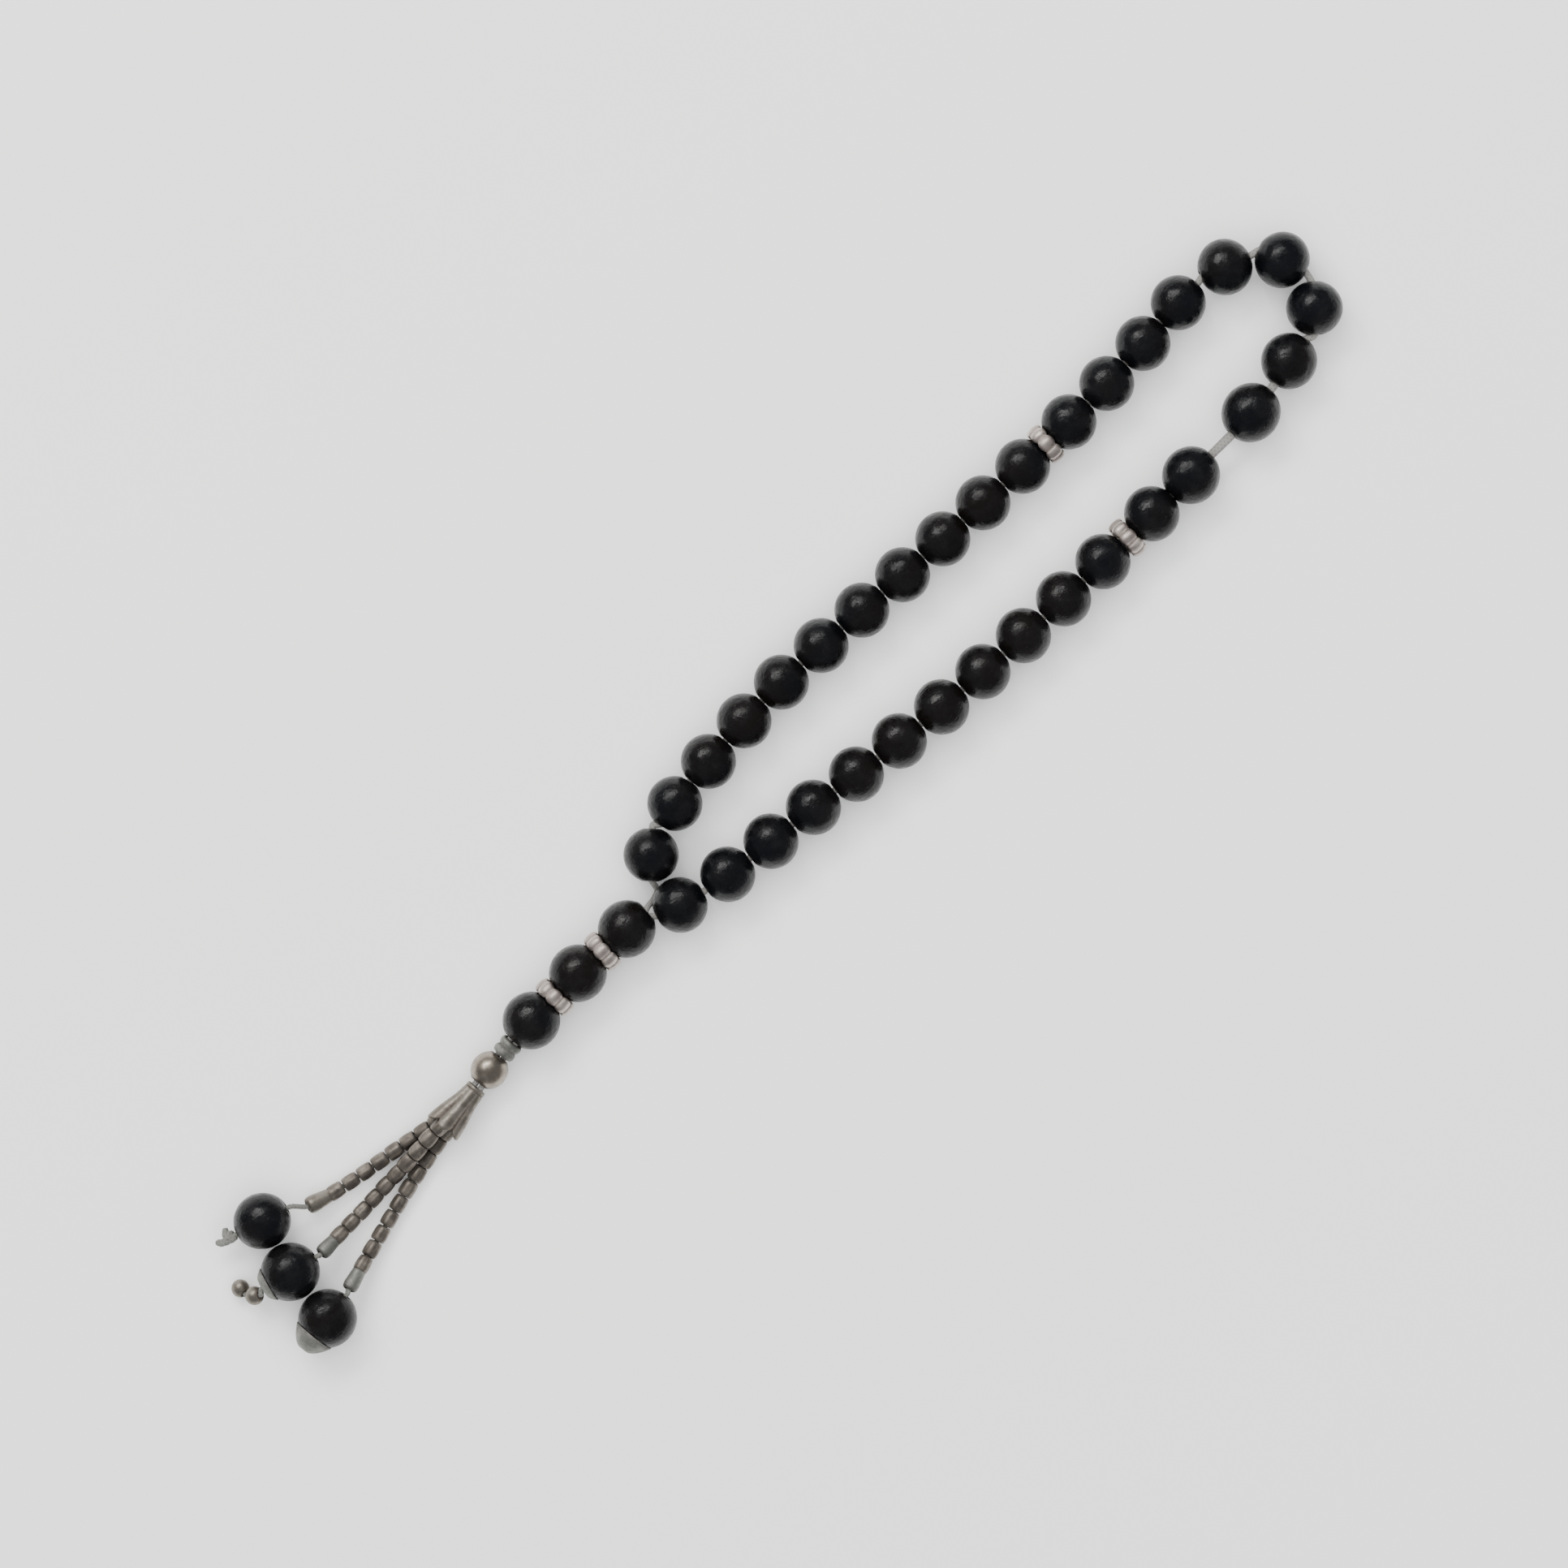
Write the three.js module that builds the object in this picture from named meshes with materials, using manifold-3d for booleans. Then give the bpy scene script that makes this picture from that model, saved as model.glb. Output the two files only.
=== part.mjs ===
// Misbaha, a loop of 33 prayer beads with a leader and a three-strand tassel, laid on a table.
// Millimetres, +Z up, table at z = 0. +X runs from the tassel to the tip of the loop.
import * as THREE from 'three';
import { mergeVertices } from 'three/addons/utils/BufferGeometryUtils.js';
import Module from 'manifold-3d';

const wasm = await Module();
wasm.setup();

// Beads
const LEFT_D = 7.9;
const RIGHT_D = 8.0;
const TIP_D = 8.1;
const LEADER_D = 8.2;
const END_D = [8.0, 8.3, 8.3];
const LARGER = { 19: [8, 7.7], 20: [8.3, 8.3], 21: [8.2, 8] }; // the diameter and length of those beside bare cord
const BEAD_LENGTH = 0.93; // along the hole, as a share of the diameter
const END_STRETCH = 1.07; // the end beads are longer than that by this share
const ROW_BEAD_LENGTH = 7.47; // in the loop, where the beads lie close
const BEAD_PROFILE = [[1, 0.38], [0.7, 0.77], [0.24, 1]]; // shares of the half length and of the radius
const BEAD_FACETS = 12;
const LOOP_HOLE_R = 0.85;
const LEADER_HOLE_R = 1.28;
const END_HOLE_R = 0.7;
const COUNTERSINK = 0.6;

// Where the beads lie: the line through the middles of each row, from the leader outward
const LEFT_ROW = [[-19.3, 6.05], [-11.9, 8.9], [-4, 9.9], [11, 10.7], [34, 9.6], [57, 8.7], [74, 8.8], [89, 9.9]];
const RIGHT_ROW = [[-21.3, -1.9], [-13.4, -3.5], [2, -5.2], [25, -7.7], [48, -8.8], [65, -8.9], [85, -8.5], [95, -6.9]];
const TIP = [[97.2, 8.9], [103.7, 3.95], [102.2, -4.15]];
const LEADER = [[-29.1, 0.95], [-38.45, 1.3], [-47.85, 1.1]];
const PITCH = 7.65;
const DIVIDER_PITCH = 9.1;
const LEFT_STEPS = [8.05, ...Array(9).fill(PITCH), DIVIDER_PITCH, ...Array(3).fill(PITCH)];
const RIGHT_STEPS = [8.05, ...Array(9).fill(7.7), 9.7, 7.8, 12.3, 9.1];
const FIRST_BEAD_TURN = 44; // degrees; the first bead's hole looks down at the leader
const LEADER_MOUTH = [[-25.65, 0.9, 4.05], [-25.75, 0.2, 4.1]]; // where the loop's two ends enter the leader

// Silver
const SPACER_R = 2.9;
const SPACER_PETALS = 8;
const SPACER_HUB = 0.6;
const SPACER_RIM = 1.05;
const COLLAR = { at: [-53.05, 0.65, 3.4], d: 3.4, length: 1.9 };
const BALL = { at: [-57.1, 0.25, 2.72], d: 5.3 };
const CONE_FROM = [-60.05, -0.3, 2.85];
const CONE_TO = [-67.2, -0.95, 3.05];
const CONE_PETALS = 6;
const CONE_SCALLOP = 0.45;

// Cord: one piece, both ends tied inside the tassel cone
const CORD_R = 0.45;
const LEG = 0.52; // each leg's distance from the leader's middle line
const KNOT = { at: [-64.5, -0.7, 3], d: [2.9, 2.9, 2.7] };
const CORD_STEPS = 130;
const CORD_SLACK = 0.2; // 0 pulls the cord straight from point to point

// Tassel
const STRAND_R = 1.0;
const STRAND_WAIST = 0.78;
const STRAND_HOLE_R = 0.55;
const STRAND_BEAD = 2.4;
const THREAD_R = 0.35;
const STRAND_ROUTES = [
  [[-68.5, 0.35, 1.7], [-74, 1.3, 1.15], [-80, 2.25, 1.1], [-85.5, 3.3, 1.4], [-89.1, 4.4, 2.6]],
  [[-68.5, -0.6, 3.6], [-73, -0.9, 2.9], [-79, -1.2, 1.3], [-86, -1.55, 1.4], [-92.4, -1.75, 3.6]],
  [[-68.5, -1.95, 1.7], [-74, -3, 1.15], [-80, -4.45, 1.1], [-86.5, -6.2, 1.6], [-93.1, -8.1, 3.7]],
];
const THREAD_STARTS = [[-66.5, 0.2, 2.5], [-66.5, -0.8, 3.8], [-66.5, -1.7, 2.5]];
const END_BEADS = [
  { at: [-95.05, 7.42], turn: -17 },
  { at: [-97.22, -0.52], turn: -14 },
  { at: [-98.05, -8.95], turn: 7 },
];
const THREAD_KNOT = { at: [-99.8, 9, 3.6], d: 1.5 };
const TAIL_TIPS = [[-101.7, 10.2, 2.6], [-99.9, 11, 2.8]];
const TAIL_R = 0.45;
const END_BALLS = [
  { at: [-103.3, 0.6, 3.1], d: 2.7, hole: [-0.64, 0.39, -0.66] },
  { at: [-104.2, 2.75, 1.32], d: 2.6, hole: [0, 0.86, -0.51] },
];

const degrees = THREE.MathUtils.degToRad;
const point = (xyz) => new THREE.Vector3(...xyz);
const turned = (angle, length) => new THREE.Vector3(Math.cos(angle), Math.sin(angle), 0).multiplyScalar(length);

const BEAD = new THREE.MeshStandardMaterial({ color: 0x17171a, roughness: 0.35, metalness: 0 });
const SILVER = new THREE.MeshStandardMaterial({ color: 0xa09488, roughness: 0.4, metalness: 0.9 });
const CORD = new THREE.MeshStandardMaterial({ color: 0xbcbbb4, roughness: 0.7, metalness: 0 });
const THREAD = new THREE.MeshStandardMaterial({ color: 0x96968c, roughness: 0.7, metalness: 0 });

const misbaha = new THREE.Group();

function add(name, geometry, material, at = new THREE.Vector3(), turn = 0, dip = 0) {
  const mesh = new THREE.Mesh(geometry, material);
  mesh.name = name;
  mesh.position.copy(at);
  mesh.rotation.set(0, dip, turn, 'ZYX');
  misbaha.add(mesh);
}

// A profile of [distance along, radius] pairs spun about the X axis, with a flat facet at the bottom
function spin(profile, facets) {
  const grown = 1 / Math.cos(Math.PI / facets);
  const outline = profile.map(([along, r]) => new THREE.Vector2(r * grown, along)).reverse();
  const geometry = new THREE.LatheGeometry(outline, facets, Math.PI / facets);
  return geometry.rotateZ(-Math.PI / 2);
}

const closed = (profile) => [...profile, profile[0]];

// Pushes a spun shape's radius in and out around the axis, and its far end along it
function flute(geometry, petals, depthAt, scallopAt = () => 0) {
  const p = geometry.attributes.position;
  for (let i = 0; i < p.count; i += 1) {
    const [x, y, z] = [p.getX(i), p.getY(i), p.getZ(i)];
    const wave = Math.cos(petals * Math.atan2(y, z));
    const r = Math.hypot(y, z);
    const grown = 1 + wave * depthAt(r, x);
    p.setXYZ(i, x + wave * scallopAt(r, x), y * grown, z * grown);
  }
  return geometry;
}

function beadShape(d, holeR, length = BEAD_LENGTH * d) {
  const side = BEAD_PROFILE.map(([along, across]) => [(along * length) / 2, (across * d) / 2]);
  const mirrored = side.map(([along, across]) => [-along, across]).reverse();
  const deep = side[0][0] - COUNTERSINK;
  return spin(closed([[-deep, holeR], [deep, holeR], ...side, ...mirrored]), BEAD_FACETS);
}

function spacerShape(holeR) {
  const half = [[SPACER_HUB, holeR], [SPACER_HUB, 1.5], [SPACER_RIM, 2.3], [0.55, SPACER_R]];
  const mirrored = half.map(([along, across]) => [-along, across]).reverse();
  const geometry = spin(closed([...half, ...mirrored]), 2 * SPACER_PETALS);
  return flute(geometry, SPACER_PETALS, (r) => (r > 2 ? -0.045 : 0));
}

function roundShape(d, length, holeR, facets, rings) {
  const r = d / 2;
  const end = Math.asin(holeR / r);
  const outline = [];
  for (let i = 0; i <= rings; i += 1) {
    const a = end + ((Math.PI - 2 * end) * i) / rings;
    outline.push([Math.cos(a) * (length / 2 / Math.cos(end)), Math.sin(a) * r]);
  }
  return spin(closed(outline), facets);
}

// The beads of the loop, counted round it from the leader's left side
function alongRow(row, steps) {
  const curve = new THREE.CatmullRomCurve3(row.map(([x, y]) => new THREE.Vector3(x, y, 0)));
  const whole = curve.getLength();
  const places = [curve.getPointAt(0)];
  let travelled = 0;
  for (const step of steps) {
    travelled += step;
    places.push(curve.getPointAt(travelled / whole));
  }
  return places;
}

const atHeight = (place, d) => new THREE.Vector3(place.x, place.y, d / 2);
const left = alongRow(LEFT_ROW, LEFT_STEPS).map((p) => ({ at: atHeight(p, LEFT_D), d: LEFT_D }));
const right = alongRow(RIGHT_ROW, RIGHT_STEPS).map((p) => ({ at: atHeight(p, RIGHT_D), d: RIGHT_D }));
const tip = TIP.map(([x, y]) => ({ at: new THREE.Vector3(x, y, TIP_D / 2), d: TIP_D }));
const loop = [...left, ...tip, ...right.reverse()];
for (const [number, [d, length]] of Object.entries(LARGER)) {
  const bead = loop[number - 1];
  bead.d = d;
  bead.length = length;
  bead.at.z = d / 2;
}
const leader = LEADER.map(([x, y]) => ({ at: new THREE.Vector3(x, y, LEADER_D / 2), d: LEADER_D }));

const heading = (from, to) => Math.atan2(to.y - from.y, to.x - from.x);
loop.forEach((bead, i) => {
  const before = i === 0 ? null : loop[i - 1].at;
  const after = i === loop.length - 1 ? leader[0].at : loop[i + 1].at;
  bead.turn = before ? heading(before, after) : degrees(FIRST_BEAD_TURN);
});
leader[0].turn = heading(point(LEADER_MOUTH[0]).lerp(point(LEADER_MOUTH[1]), 0.5), leader[1].at);
leader[1].turn = heading(leader[0].at, leader[2].at);
leader[2].turn = heading(leader[1].at, leader[2].at);

loop.forEach((bead, i) => {
  const name = `bead_${String(i + 1).padStart(2, '0')}`;
  add(name, beadShape(bead.d, LOOP_HOLE_R, bead.length ?? ROW_BEAD_LENGTH), BEAD, bead.at, bead.turn);
});
leader.forEach((bead, i) => {
  add(`leader_bead_${i + 1}`, beadShape(bead.d, LEADER_HOLE_R), BEAD, bead.at, bead.turn);
});

// Silver spacers, each halfway between two beads
function between(name, a, b, holeR) {
  const at = a.at.clone().lerp(b.at, 0.5);
  add(name, spacerShape(holeR), SILVER, at, heading(a.at, b.at));
}

between('divider_left', loop[10], loop[11], LOOP_HOLE_R);
between('divider_right', loop[21], loop[22], LOOP_HOLE_R);
between('leader_spacer_1', leader[0], leader[1], LEADER_HOLE_R);
between('leader_spacer_2', leader[1], leader[2], LEADER_HOLE_R);

const lead = [...leader.map((bead) => bead.at), point(COLLAR.at), point(BALL.at), point(CONE_FROM), point(CONE_TO)];
const slopeOf = (from, to) => Math.atan2(to.z - from.z, Math.hypot(to.x - from.x, to.y - from.y));
const collar = roundShape(COLLAR.d, COLLAR.length, LEADER_HOLE_R - 0.05, 12, 4);
add('collar_bead', collar, SILVER, lead[3], heading(lead[2], lead[4]), -slopeOf(lead[2], lead[4]));
const ball = roundShape(BALL.d, BALL.d * 0.9, LEADER_HOLE_R - 0.05, 16, 7);
add('stop_ball', ball, SILVER, lead[4], heading(lead[3], lead[5]), -slopeOf(lead[4], lead[5]));

function coneShape(length) {
  const outside = [[0, 1.15], [0.15, 1.5], [2.6, 1.75], [5.2, 2.4], [length, 2.75]];
  const inside = [[length, 2.45], [5, 2.05], [2.6, 1.4], [0.4, 1.15]];
  const geometry = spin(closed([...inside.reverse(), ...outside.reverse()]), 4 * CONE_PETALS);
  const depth = (r, x) => (r > 1.45 ? 0.05 * Math.min(1, x / 3) : 0);
  return flute(geometry, CONE_PETALS, depth, (r, x) => CONE_SCALLOP * (x / length) ** 4);
}

const coneLength = lead[5].distanceTo(lead[6]);
add('tassel_cone', coneShape(coneLength), SILVER, lead[5], heading(lead[5], lead[6]), -slopeOf(lead[5], lead[6]));

const knot = new THREE.SphereGeometry(0.5, 10, 6);
knot.scale(...KNOT.d);
add('tassel_knot', knot, CORD, point(KNOT.at));

// The cord: out along one leg of the leader, round the loop, and back along the other leg
function tube(points, radius, steps) {
  const path = new THREE.CatmullRomCurve3(points, false, 'catmullrom', CORD_SLACK);
  const section = new THREE.Shape();
  section.absarc(0, 0, radius / Math.cos(Math.PI / 8), 0, 2 * Math.PI);
  return new THREE.ExtrudeGeometry(section, { steps, extrudePath: path, curveSegments: 4 });
}

function throughBead(bead, reach = 0.8) {
  const half = turned(bead.turn, (reach * bead.d) / 2);
  return [bead.at.clone().sub(half), bead.at.clone().add(half)];
}

function leg(side) {
  const ends = [[-62.7, -0.55, 2.95], [-59.8, -0.25, 2.83], [-57.1, 0.25, 2.72], [-54.6, 0.5, 2.8], [-51.6, 0.85, 4.05]];
  const inner = [...ends.map(point), ...leader.map((bead) => bead.at.clone()).reverse()];
  return inner.map((p) => p.add(new THREE.Vector3(0, side * LEG, 0)));
}

const BENDS = { 1: [-16.1, 8.9, 3.95], 18: [99.1, -6.82, 4.05] }; // where the cord turns sharply after a bead
const UNDER_THE_LAST_BEAD = [[-24.75, 1.15, 2.8], [-23.5, 1.3, 1.2], [-22.15, 1.85, 1.15], [-22, 2.4, 2.4]];
const cordRoute = [
  ...leg(1),
  point(LEADER_MOUTH[0]),
  ...UNDER_THE_LAST_BEAD.map(point),
  ...loop.flatMap((bead, i) => (i + 1 in BENDS ? [...throughBead(bead), point(BENDS[i + 1])] : throughBead(bead))),
  point(LEADER_MOUTH[1]),
  ...leg(-1).reverse(),
];
add('cord', tube(cordRoute, CORD_R, CORD_STEPS), CORD);

// Tassel: each strand of small silver beads lies along its route, with a thread through it and its end bead
const endBeads = END_BEADS.map(({ at, turn }, i) => ({
  at: new THREE.Vector3(...at, END_D[i] / 2),
  turn: degrees(turn),
  d: END_D[i],
}));

// Bends a shape spun about the X axis onto a curve, its middle line keeping its length
function bend(geometry, curve) {
  const p = geometry.attributes.position;
  const whole = curve.getLength();
  for (let i = 0; i < p.count; i += 1) {
    const u = Math.min(1, Math.max(0, p.getX(i) / whole));
    const along = curve.getTangentAt(u);
    const across = new THREE.Vector3(-along.y, along.x, 0).normalize();
    const up = along.clone().cross(across);
    const place = curve.getPointAt(u).addScaledVector(across, p.getY(i)).addScaledVector(up, p.getZ(i));
    p.setXYZ(i, ...place);
  }
  return geometry;
}

function strandShape(curve) {
  const whole = curve.getLength();
  const count = Math.round(whole / STRAND_BEAD);
  const outside = [];
  const inside = [];
  for (let i = 0; i <= 2 * count; i += 1) {
    outside.push([(whole * i) / (2 * count), i % 2 ? STRAND_R : STRAND_WAIST]);
    if (i % 2 === 0) {
      inside.push([(whole * i) / (2 * count), STRAND_HOLE_R]);
    }
  }
  return bend(spin(closed([...inside, ...outside.reverse()]), 8), curve);
}

function solid(geometry) {
  const bare = new THREE.BufferGeometry();
  bare.setAttribute('position', geometry.attributes.position);
  if (geometry.index) {
    bare.setIndex(geometry.index);
  }
  const merged = mergeVertices(bare, 1e-4);
  const triVerts = Uint32Array.from(merged.index.array);
  const vertProperties = Float32Array.from(merged.attributes.position.array);
  return new wasm.Manifold(new wasm.Mesh({ numProp: 3, vertProperties, triVerts }));
}

function joined(geometries) {
  const whole = geometries.map(solid).reduce((sum, next) => sum.add(next));
  const { vertProperties, triVerts } = whole.getMesh();
  const geometry = new THREE.BufferGeometry();
  geometry.setAttribute('position', new THREE.BufferAttribute(vertProperties, 3));
  geometry.setIndex(new THREE.BufferAttribute(triVerts, 1));
  return geometry;
}

function threadRoute(i, after) {
  const bead = endBeads[i];
  const [near, far] = throughBead(bead, 1.1);
  return [THREAD_STARTS[i], ...STRAND_ROUTES[i]].map(point).concat([far, bead.at, near], after);
}

const knotBead = new THREE.SphereGeometry(THREAD_KNOT.d / 2, 8, 6);
knotBead.translate(...THREAD_KNOT.at);
const tails = TAIL_TIPS.map((tail) => {
  const run = point(tail).sub(point(THREAD_KNOT.at));
  const shape = new THREE.CapsuleGeometry(TAIL_R, run.length(), 2, 8);
  shape.applyQuaternion(new THREE.Quaternion().setFromUnitVectors(new THREE.Vector3(0, 1, 0), run.clone().normalize()));
  return shape.translate(...point(THREAD_KNOT.at).addScaledVector(run, 0.5));
});
const endBalls = END_BALLS.map(({ at, d, hole }) => ({ at: point(at), d, hole: point(hole) }));
const throughBall = ({ at, d, hole }) => [-0.5, 0.45].map((share) => at.clone().addScaledVector(hole, share * d));
const threads = [
  joined([tube(threadRoute(0, [point(THREAD_KNOT.at)]), THREAD_R, 22), knotBead, ...tails]),
  tube(threadRoute(1, endBalls.flatMap(throughBall)), THREAD_R, 28),
  tube(threadRoute(2, [point([-103, -9.5, 4.1])]), THREAD_R, 22),
];

STRAND_ROUTES.forEach((route, i) => {
  const curve = new THREE.CatmullRomCurve3(route.map(point), false, 'centripetal');
  add(`tassel_strand_${i + 1}`, strandShape(curve), SILVER);
  add(`tassel_thread_${i + 1}`, threads[i], THREAD);
  const { d, at, turn } = endBeads[i];
  add(`end_bead_${i + 1}`, beadShape(d, END_HOLE_R, END_STRETCH * BEAD_LENGTH * d), BEAD, at, turn);
});

// Silver caps behind the second and third end beads, opening along +X over the bead
function capShape(bead, rim, height) {
  const r = bead.d / 2;
  const seat = (across) => END_STRETCH * Math.sqrt((r + 0.15) ** 2 - across ** 2);
  const middle = (rim + 0.6) / 2;
  const top = seat(0.6) + height;
  const outside = [[seat(rim) + 0.15, rim + 0.2], [seat(middle) + 0.45 * height, middle + 0.5], [top, 1]];
  const inside = [[top, 0.6], [seat(0.6), 0.6], [seat(middle), middle], [seat(rim), rim]];
  return spin(closed([...inside, ...outside].map(([along, across]) => [-along, across])), 12);
}

add('end_cap_2', capShape(endBeads[1], 2.5, 0.12), SILVER, endBeads[1].at, endBeads[1].turn);
add('end_cap_3', capShape(endBeads[2], 3, 1.05), SILVER, endBeads[2].at, endBeads[2].turn);
endBalls.forEach(({ at, d, hole }, i) => {
  const shape = roundShape(d, d * 0.9, 0.6, 10, 5);
  add(`end_ball_${i + 1}`, shape, SILVER, at, heading(new THREE.Vector3(), hole), -slopeOf(new THREE.Vector3(), hole));
});

// The origin is under the middle of the whole object, on the table
const bounds = new THREE.Box3().setFromObject(misbaha, true);
const middle = bounds.getCenter(new THREE.Vector3());
misbaha.position.set(-middle.x, -middle.y, -bounds.min.z);

export default misbaha;
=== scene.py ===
import math

import bmesh
import bpy
from mathutils import Matrix, Vector


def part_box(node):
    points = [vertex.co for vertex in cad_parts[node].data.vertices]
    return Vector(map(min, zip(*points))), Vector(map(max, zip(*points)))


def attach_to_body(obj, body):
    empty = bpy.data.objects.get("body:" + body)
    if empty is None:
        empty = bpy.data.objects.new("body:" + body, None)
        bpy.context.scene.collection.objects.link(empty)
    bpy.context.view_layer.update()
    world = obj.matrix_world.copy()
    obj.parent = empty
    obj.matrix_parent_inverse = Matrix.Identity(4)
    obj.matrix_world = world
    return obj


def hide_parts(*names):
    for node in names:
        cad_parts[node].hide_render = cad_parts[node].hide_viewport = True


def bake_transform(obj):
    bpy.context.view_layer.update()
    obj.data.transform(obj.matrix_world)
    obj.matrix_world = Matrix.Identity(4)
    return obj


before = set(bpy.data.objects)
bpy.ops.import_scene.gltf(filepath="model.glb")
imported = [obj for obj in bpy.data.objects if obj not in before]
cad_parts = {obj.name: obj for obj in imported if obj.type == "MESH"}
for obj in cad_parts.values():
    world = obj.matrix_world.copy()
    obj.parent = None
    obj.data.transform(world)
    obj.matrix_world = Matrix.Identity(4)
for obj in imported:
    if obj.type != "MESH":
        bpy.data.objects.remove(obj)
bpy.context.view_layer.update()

MM = 0.001
UP = Vector((0, 0, 1))
ORIGIN = Vector((1.135, 0.735, 0))  # mm, where the row frame begins in the part's own millimetres

LOOP_COUNT = 33
BEAD_FACETS = 40
BEAD_LENGTH = 0.93  # along the hole, as a share of the bead's width
ROW_BEAD_LENGTH = 7.47  # mm, in the loop, where the beads lie close
LONGER = {19: 7.7, 20: 8.3, 21: 8.0}  # mm, the lengths of those beside bare cord
END_STRETCH = 1.07  # the end beads are longer than the usual share of their width
LOOP_HOLE = 0.85  # mm, the radius of each hole
LEADER_HOLE = 1.28
END_HOLE = 0.7
SINK_WIDTH = 0.32  # mm, from a hole to the rim of its countersink
FIRST_BEAD_TURN = 44  # degrees, because the cord comes to it from below the last bead
LEADER_MOUTH = [(-25.65, 0.9, 4.05), (-25.75, 0.2, 4.1)]  # mm, where the cord's two legs go in
LOOSE_BEAD = 20  # the bead that slides when it is counted
BEAD_STEPS = 22  # rings from one end of a bead to the other
MERGE = 0.002 * MM  # closes the seam of a spun piece
CREASE_TARNISH_AND_SHADE = 8  # how quickly tarnish and painted shade gather as petals get deeper
MEAN_CREST = 0.6  # the usual height of a cord's plies, which leaves its thickness as it is
END_TAPER = 1.5  # half widths over which a cord's end closes in


def place(x, y, z):
    """A point in the part's own millimetres, in the row frame."""
    return (Vector((x, y, z)) - ORIGIN) * MM


def middle(node):
    low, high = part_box(node)
    return (low + high) / 2


def width(node):
    low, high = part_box(node)
    return high.z - low.z


def flat_heading(start, end):
    return math.atan2(end.y - start.y, end.x - start.x)


def slope_between(start, end):
    run = end - start
    return math.atan2(run.z, math.hypot(run.x, run.y))


# ---------------------------------------------------------------- node trees

class Wire:
    """One output of a node. Arithmetic on wires and numbers adds Math nodes."""

    def __init__(self, tree, socket):
        self.tree = tree
        self.socket = socket

    def __getitem__(self, name):
        return Wire(self.tree, self.socket.node.outputs[name])

    def math(self, operation, *values):
        return self.tree.math(operation, self, *values)

    def __add__(self, other):
        return self.tree.math("ADD", self, other)

    def __radd__(self, other):
        return self.tree.math("ADD", other, self)

    def __sub__(self, other):
        return self.tree.math("SUBTRACT", self, other)

    def __rsub__(self, other):
        return self.tree.math("SUBTRACT", other, self)

    def __mul__(self, other):
        return self.tree.math("MULTIPLY", self, other)

    def __rmul__(self, other):
        return self.tree.math("MULTIPLY", other, self)

    def __truediv__(self, other):
        return self.tree.math("DIVIDE", self, other)

    def __pow__(self, other):
        return self.tree.math("POWER", self, other)

    def __abs__(self):
        return self.tree.math("ABSOLUTE", self)

    def spread(self, low, high, to_low=0.0, to_high=1.0):
        """Stretches low..high to to_low..to_high in a soft step, and cuts off what is outside."""
        values = {"Value": self, "From Min": low, "From Max": high, "To Min": to_low,
                  "To Max": to_high}
        return self.tree.make("ShaderNodeMapRange", {"interpolation_type": "SMOOTHSTEP"}, values)


class Tree:
    """Fills a node tree with one call for each node."""

    def __init__(self, node_tree):
        self.nodes = node_tree.nodes
        self.links = node_tree.links

    def make(self, kind, settings=None, values=None, output=0):
        """Adds a node: its settings first, then the number or wire of each named socket."""
        node = self.nodes.new(kind)
        for name, value in (settings or {}).items():
            setattr(node, name, value)
        for name, value in (values or {}).items():
            if isinstance(value, Wire):
                self.links.new(value.socket, node.inputs[name])
            else:
                node.inputs[name].default_value = value
        return Wire(self, node.outputs[output]) if node.outputs else node

    def math(self, operation, *values):
        return self.make("ShaderNodeMath", {"operation": operation}, dict(enumerate(values)))

    def mix(self, amount, first, second):
        """Goes from one colour to the other. A plain colour is three numbers."""
        full = [c if isinstance(c, Wire) else (*c, 1) for c in (first, second)]
        values = {0: amount, 6: full[0], 7: full[1]}
        return self.make("ShaderNodeMix", {"data_type": "RGBA", "clamp_factor": True}, values, 2)


def geometry_tree(name, sockets):
    """A new Geometry Nodes tree, its builder, its inputs as wires, and their identifiers."""
    group = bpy.data.node_groups.new(name, "GeometryNodeTree")
    group.interface.new_socket("Geometry", in_out="INPUT", socket_type="NodeSocketGeometry")
    group.interface.new_socket("Geometry", in_out="OUTPUT", socket_type="NodeSocketGeometry")
    identifiers = {}
    for label, kind in sockets.items():
        socket = group.interface.new_socket(label, in_out="INPUT", socket_type=f"NodeSocket{kind}")
        identifiers[label] = socket.identifier
    tree = Tree(group)
    return group, tree, tree.make("NodeGroupInput"), identifiers


def end_tree(tree, geometry, finish):
    """Makes one plain mesh of the result, in its finish."""
    whole = tree.make("GeometryNodeRealizeInstances", {}, {"Geometry": geometry})
    coated = tree.make("GeometryNodeSetMaterial", {}, {"Geometry": whole, "Material": finish})
    tree.make("NodeGroupOutput", {}, {"Geometry": coated})


def named(tree, label):
    return tree.make("GeometryNodeInputNamedAttribute", {"data_type": "FLOAT"}, {"Name": label})


def keep_number(tree, geometry, label, value):
    return tree.make("GeometryNodeStoreNamedAttribute", {"data_type": "FLOAT", "domain": "POINT"},
                     {"Geometry": geometry, "Name": label, "Value": value})


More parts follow.
